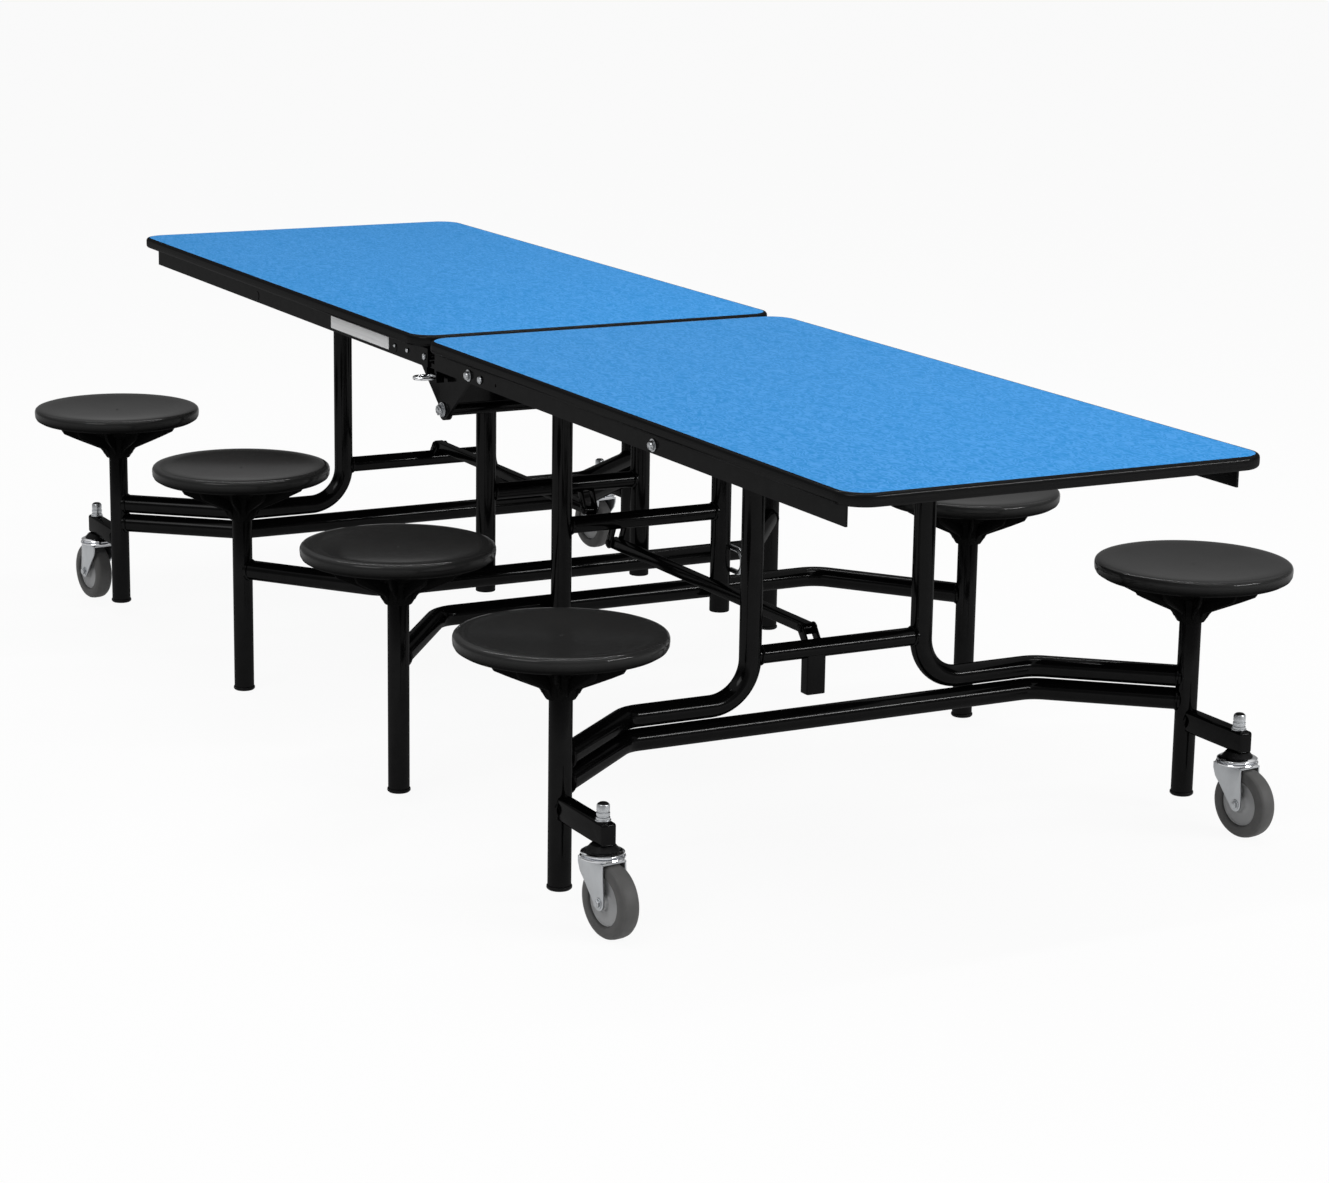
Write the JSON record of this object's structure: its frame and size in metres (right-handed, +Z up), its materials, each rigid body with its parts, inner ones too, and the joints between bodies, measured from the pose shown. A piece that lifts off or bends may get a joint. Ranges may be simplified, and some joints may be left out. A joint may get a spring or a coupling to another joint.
{
  "type": "folding table with attached swivel seats",
  "caption": "Folding mobile table with two blue halves hinged at the centre, black tube frames on casters and feet, and round seats that swivel on posts.",
  "frame": {"origin": "centre of the table on the floor", "axes": "+X along the table, +Y across it, +Z up"},
  "size_m": [3.0734, 1.552, 0.737],
  "materials": {
    "blue_laminate": "satin textured laminate",
    "panel_core": "dark backer sheet on particle board",
    "edge_band": "satin moulded edge",
    "frame_black": "gloss black powder coat",
    "seat_black": "satin moulded plastic",
    "cap_black": "matte",
    "zinc": "zinc plated",
    "chrome": "polished",
    "tyre_grey": "dark grey rubber",
    "hub_grey": "grey moulded plastic",
    "label_white": "blank printed film"
  },
  "bodies": {
    "near_outer_frame": {"near_outer_leg_tubes": "frame_black", "near_outer_cross_tubes": "frame_black", "near_outer_stool_posts": "frame_black", "near_outer_post_caps": "cap_black", "near_caster_arms": "frame_black", "near_caster_stems": "zinc"},
    "near_top": {"near_top_laminate": "blue_laminate", "near_top_panel": "panel_core", "near_top_edge_band": "edge_band", "near_side_rails": "frame_black", "near_cross_channels": "frame_black", "near_hinge_plates": "frame_black", "near_pivot_axles": "zinc", "hinge_axle": "zinc"},
    "near_inner_frame": {"near_inner_leg_tubes": "frame_black", "near_inner_cross_tubes": "frame_black", "near_inner_stool_posts": "frame_black", "near_inner_post_feet": "cap_black", "lock_hook": "zinc"},
    "near_link": {"near_drag_link": "frame_black"},
    "far_top": {"far_top_laminate": "blue_laminate", "far_top_panel": "panel_core", "far_top_edge_band": "edge_band", "far_side_rails": "frame_black", "far_cross_channels": "frame_black", "far_hinge_plates": "frame_black", "far_pivot_axles": "zinc", "label_plate": "label_white"},
    "far_outer_frame": {"far_outer_leg_tubes": "frame_black", "far_outer_cross_tubes": "frame_black", "far_outer_stool_posts": "frame_black", "far_outer_post_caps": "cap_black", "far_caster_arms": "frame_black", "far_caster_stems": "zinc"},
    "far_inner_frame": {"far_inner_leg_tubes": "frame_black", "far_inner_cross_tubes": "frame_black", "far_inner_stool_posts": "frame_black", "far_inner_post_feet": "cap_black"},
    "far_link": {"far_drag_link": "frame_black"},
    "latch": {"latch_handle": "chrome"},
    "near_left_caster": {"near_left_fork": "chrome"},
    "near_left_wheel": {"near_left_tyre": "tyre_grey", "near_left_wheel_hub": "hub_grey"},
    "near_left_outer_stool": {"near_left_outer_seat": "seat_black"},
    "near_left_inner_stool": {"near_left_inner_seat": "seat_black"},
    "near_right_caster": {"near_right_fork": "chrome"},
    "near_right_wheel": {"near_right_tyre": "tyre_grey", "near_right_wheel_hub": "hub_grey"},
    "near_right_outer_stool": {"near_right_outer_seat": "seat_black"},
    "near_right_inner_stool": {"near_right_inner_seat": "seat_black"},
    "far_left_caster": {"far_left_fork": "chrome"},
    "far_left_wheel": {"far_left_tyre": "tyre_grey", "far_left_wheel_hub": "hub_grey"},
    "far_left_outer_stool": {"far_left_outer_seat": "seat_black"},
    "far_left_inner_stool": {"far_left_inner_seat": "seat_black"},
    "far_right_caster": {"far_right_fork": "chrome"},
    "far_right_wheel": {"far_right_tyre": "tyre_grey", "far_right_wheel_hub": "hub_grey"},
    "far_right_outer_stool": {"far_right_outer_seat": "seat_black"},
    "far_right_inner_stool": {"far_right_inner_seat": "seat_black"}
  },
  "joints": [
    {"name": "fold", "type": "hinge", "parent": "near_outer_frame", "child": "near_top", "pos_m": [0.88, 0, 0.692], "axis": [0, 1, 0], "range_deg": [0, 80]},
    {"name": "centre_hinge", "type": "hinge", "parent": "near_top", "child": "far_top", "pos_m": [0, 0, 0.6], "axis": [0, 1, 0], "range_deg": [-160, 0]},
    {"name": "near_inner_pivot", "type": "hinge", "parent": "near_top", "child": "near_inner_frame", "pos_m": [0.166, 0, 0.692], "axis": [0, 1, 0], "range_deg": [-80, 0]},
    {"name": "far_inner_pivot", "type": "hinge", "parent": "far_top", "child": "far_inner_frame", "pos_m": [-0.166, 0, 0.692], "axis": [0, 1, 0], "range_deg": [0, 80]},
    {"name": "far_outer_pivot", "type": "hinge", "parent": "far_top", "child": "far_outer_frame", "pos_m": [-0.88, 0, 0.692], "axis": [0, 1, 0], "range_deg": [0, 80]},
    {"name": "near_link_pivot", "type": "hinge", "parent": "near_outer_frame", "child": "near_link", "pos_m": [0.856, 0, 0.35], "axis": [0, 1, 0], "range_deg": [0, 80]},
    {"name": "far_link_pivot", "type": "hinge", "parent": "far_outer_frame", "child": "far_link", "pos_m": [-0.856, 0, 0.35], "axis": [0, 1, 0], "range_deg": [-80, 0]},
    {"name": "latch_swing", "type": "hinge", "parent": "far_top", "child": "latch", "pos_m": [-0.009, -0.345, 0.661], "axis": [1, 0, 0], "range_deg": [0, 60]},
    {"name": "near_left_caster_swivel", "type": "hinge", "parent": "near_outer_frame", "child": "near_left_caster", "pos_m": [1.205, -0.606, 0.15], "axis": [0, 0, 1], "continuous": true},
    {"name": "near_left_wheel_spin", "type": "hinge", "parent": "near_left_caster", "child": "near_left_wheel", "pos_m": [1.22679, -0.60294, 0.06], "axis": [-0.1392, 0.9903, 0], "continuous": true},
    {"name": "near_left_outer_stool_swivel", "type": "hinge", "parent": "near_outer_frame", "child": "near_left_outer_stool", "pos_m": [1.055, -0.606, 0.4], "axis": [0, 0, 1], "continuous": true},
    {"name": "near_left_inner_stool_swivel", "type": "hinge", "parent": "near_inner_frame", "child": "near_left_inner_stool", "pos_m": [0.378, -0.588, 0.4], "axis": [0, 0, 1], "continuous": true},
    {"name": "near_right_caster_swivel", "type": "hinge", "parent": "near_outer_frame", "child": "near_right_caster", "pos_m": [1.205, 0.606, 0.15], "axis": [0, 0, 1], "continuous": true},
    {"name": "near_right_wheel_spin", "type": "hinge", "parent": "near_right_caster", "child": "near_right_wheel", "pos_m": [1.22679, 0.60906, 0.06], "axis": [-0.1392, 0.9903, 0], "continuous": true},
    {"name": "near_right_outer_stool_swivel", "type": "hinge", "parent": "near_outer_frame", "child": "near_right_outer_stool", "pos_m": [1.055, 0.606, 0.4], "axis": [0, 0, 1], "continuous": true},
    {"name": "near_right_inner_stool_swivel", "type": "hinge", "parent": "near_inner_frame", "child": "near_right_inner_stool", "pos_m": [0.378, 0.588, 0.4], "axis": [0, 0, 1], "continuous": true},
    {"name": "far_left_caster_swivel", "type": "hinge", "parent": "far_outer_frame", "child": "far_left_caster", "pos_m": [-1.205, -0.606, 0.15], "axis": [0, 0, 1], "continuous": true},
    {"name": "far_left_wheel_spin", "type": "hinge", "parent": "far_left_caster", "child": "far_left_wheel", "pos_m": [-1.22679, -0.60906, 0.06], "axis": [-0.1392, 0.9903, 0], "continuous": true},
    {"name": "far_left_outer_stool_swivel", "type": "hinge", "parent": "far_outer_frame", "child": "far_left_outer_stool", "pos_m": [-1.055, -0.606, 0.4], "axis": [0, 0, 1], "continuous": true},
    {"name": "far_left_inner_stool_swivel", "type": "hinge", "parent": "far_inner_frame", "child": "far_left_inner_stool", "pos_m": [-0.378, -0.588, 0.4], "axis": [0, 0, 1], "continuous": true},
    {"name": "far_right_caster_swivel", "type": "hinge", "parent": "far_outer_frame", "child": "far_right_caster", "pos_m": [-1.205, 0.606, 0.15], "axis": [0, 0, 1], "continuous": true},
    {"name": "far_right_wheel_spin", "type": "hinge", "parent": "far_right_caster", "child": "far_right_wheel", "pos_m": [-1.22679, 0.60294, 0.06], "axis": [-0.1392, 0.9903, 0], "continuous": true},
    {"name": "far_right_outer_stool_swivel", "type": "hinge", "parent": "far_outer_frame", "child": "far_right_outer_stool", "pos_m": [-1.055, 0.606, 0.4], "axis": [0, 0, 1], "continuous": true},
    {"name": "far_right_inner_stool_swivel", "type": "hinge", "parent": "far_inner_frame", "child": "far_right_inner_stool", "pos_m": [-0.378, 0.588, 0.4], "axis": [0, 0, 1], "continuous": true}
  ],
  "couplings": [
    {"joint": "centre_hinge", "follows": "fold", "ratio": -2},
    {"joint": "near_inner_pivot", "follows": "fold", "ratio": -1},
    {"joint": "far_inner_pivot", "follows": "fold", "ratio": 1},
    {"joint": "far_outer_pivot", "follows": "fold", "ratio": 1},
    {"joint": "near_link_pivot", "follows": "fold", "ratio": 1},
    {"joint": "far_link_pivot", "follows": "fold", "ratio": -1}
  ]
}
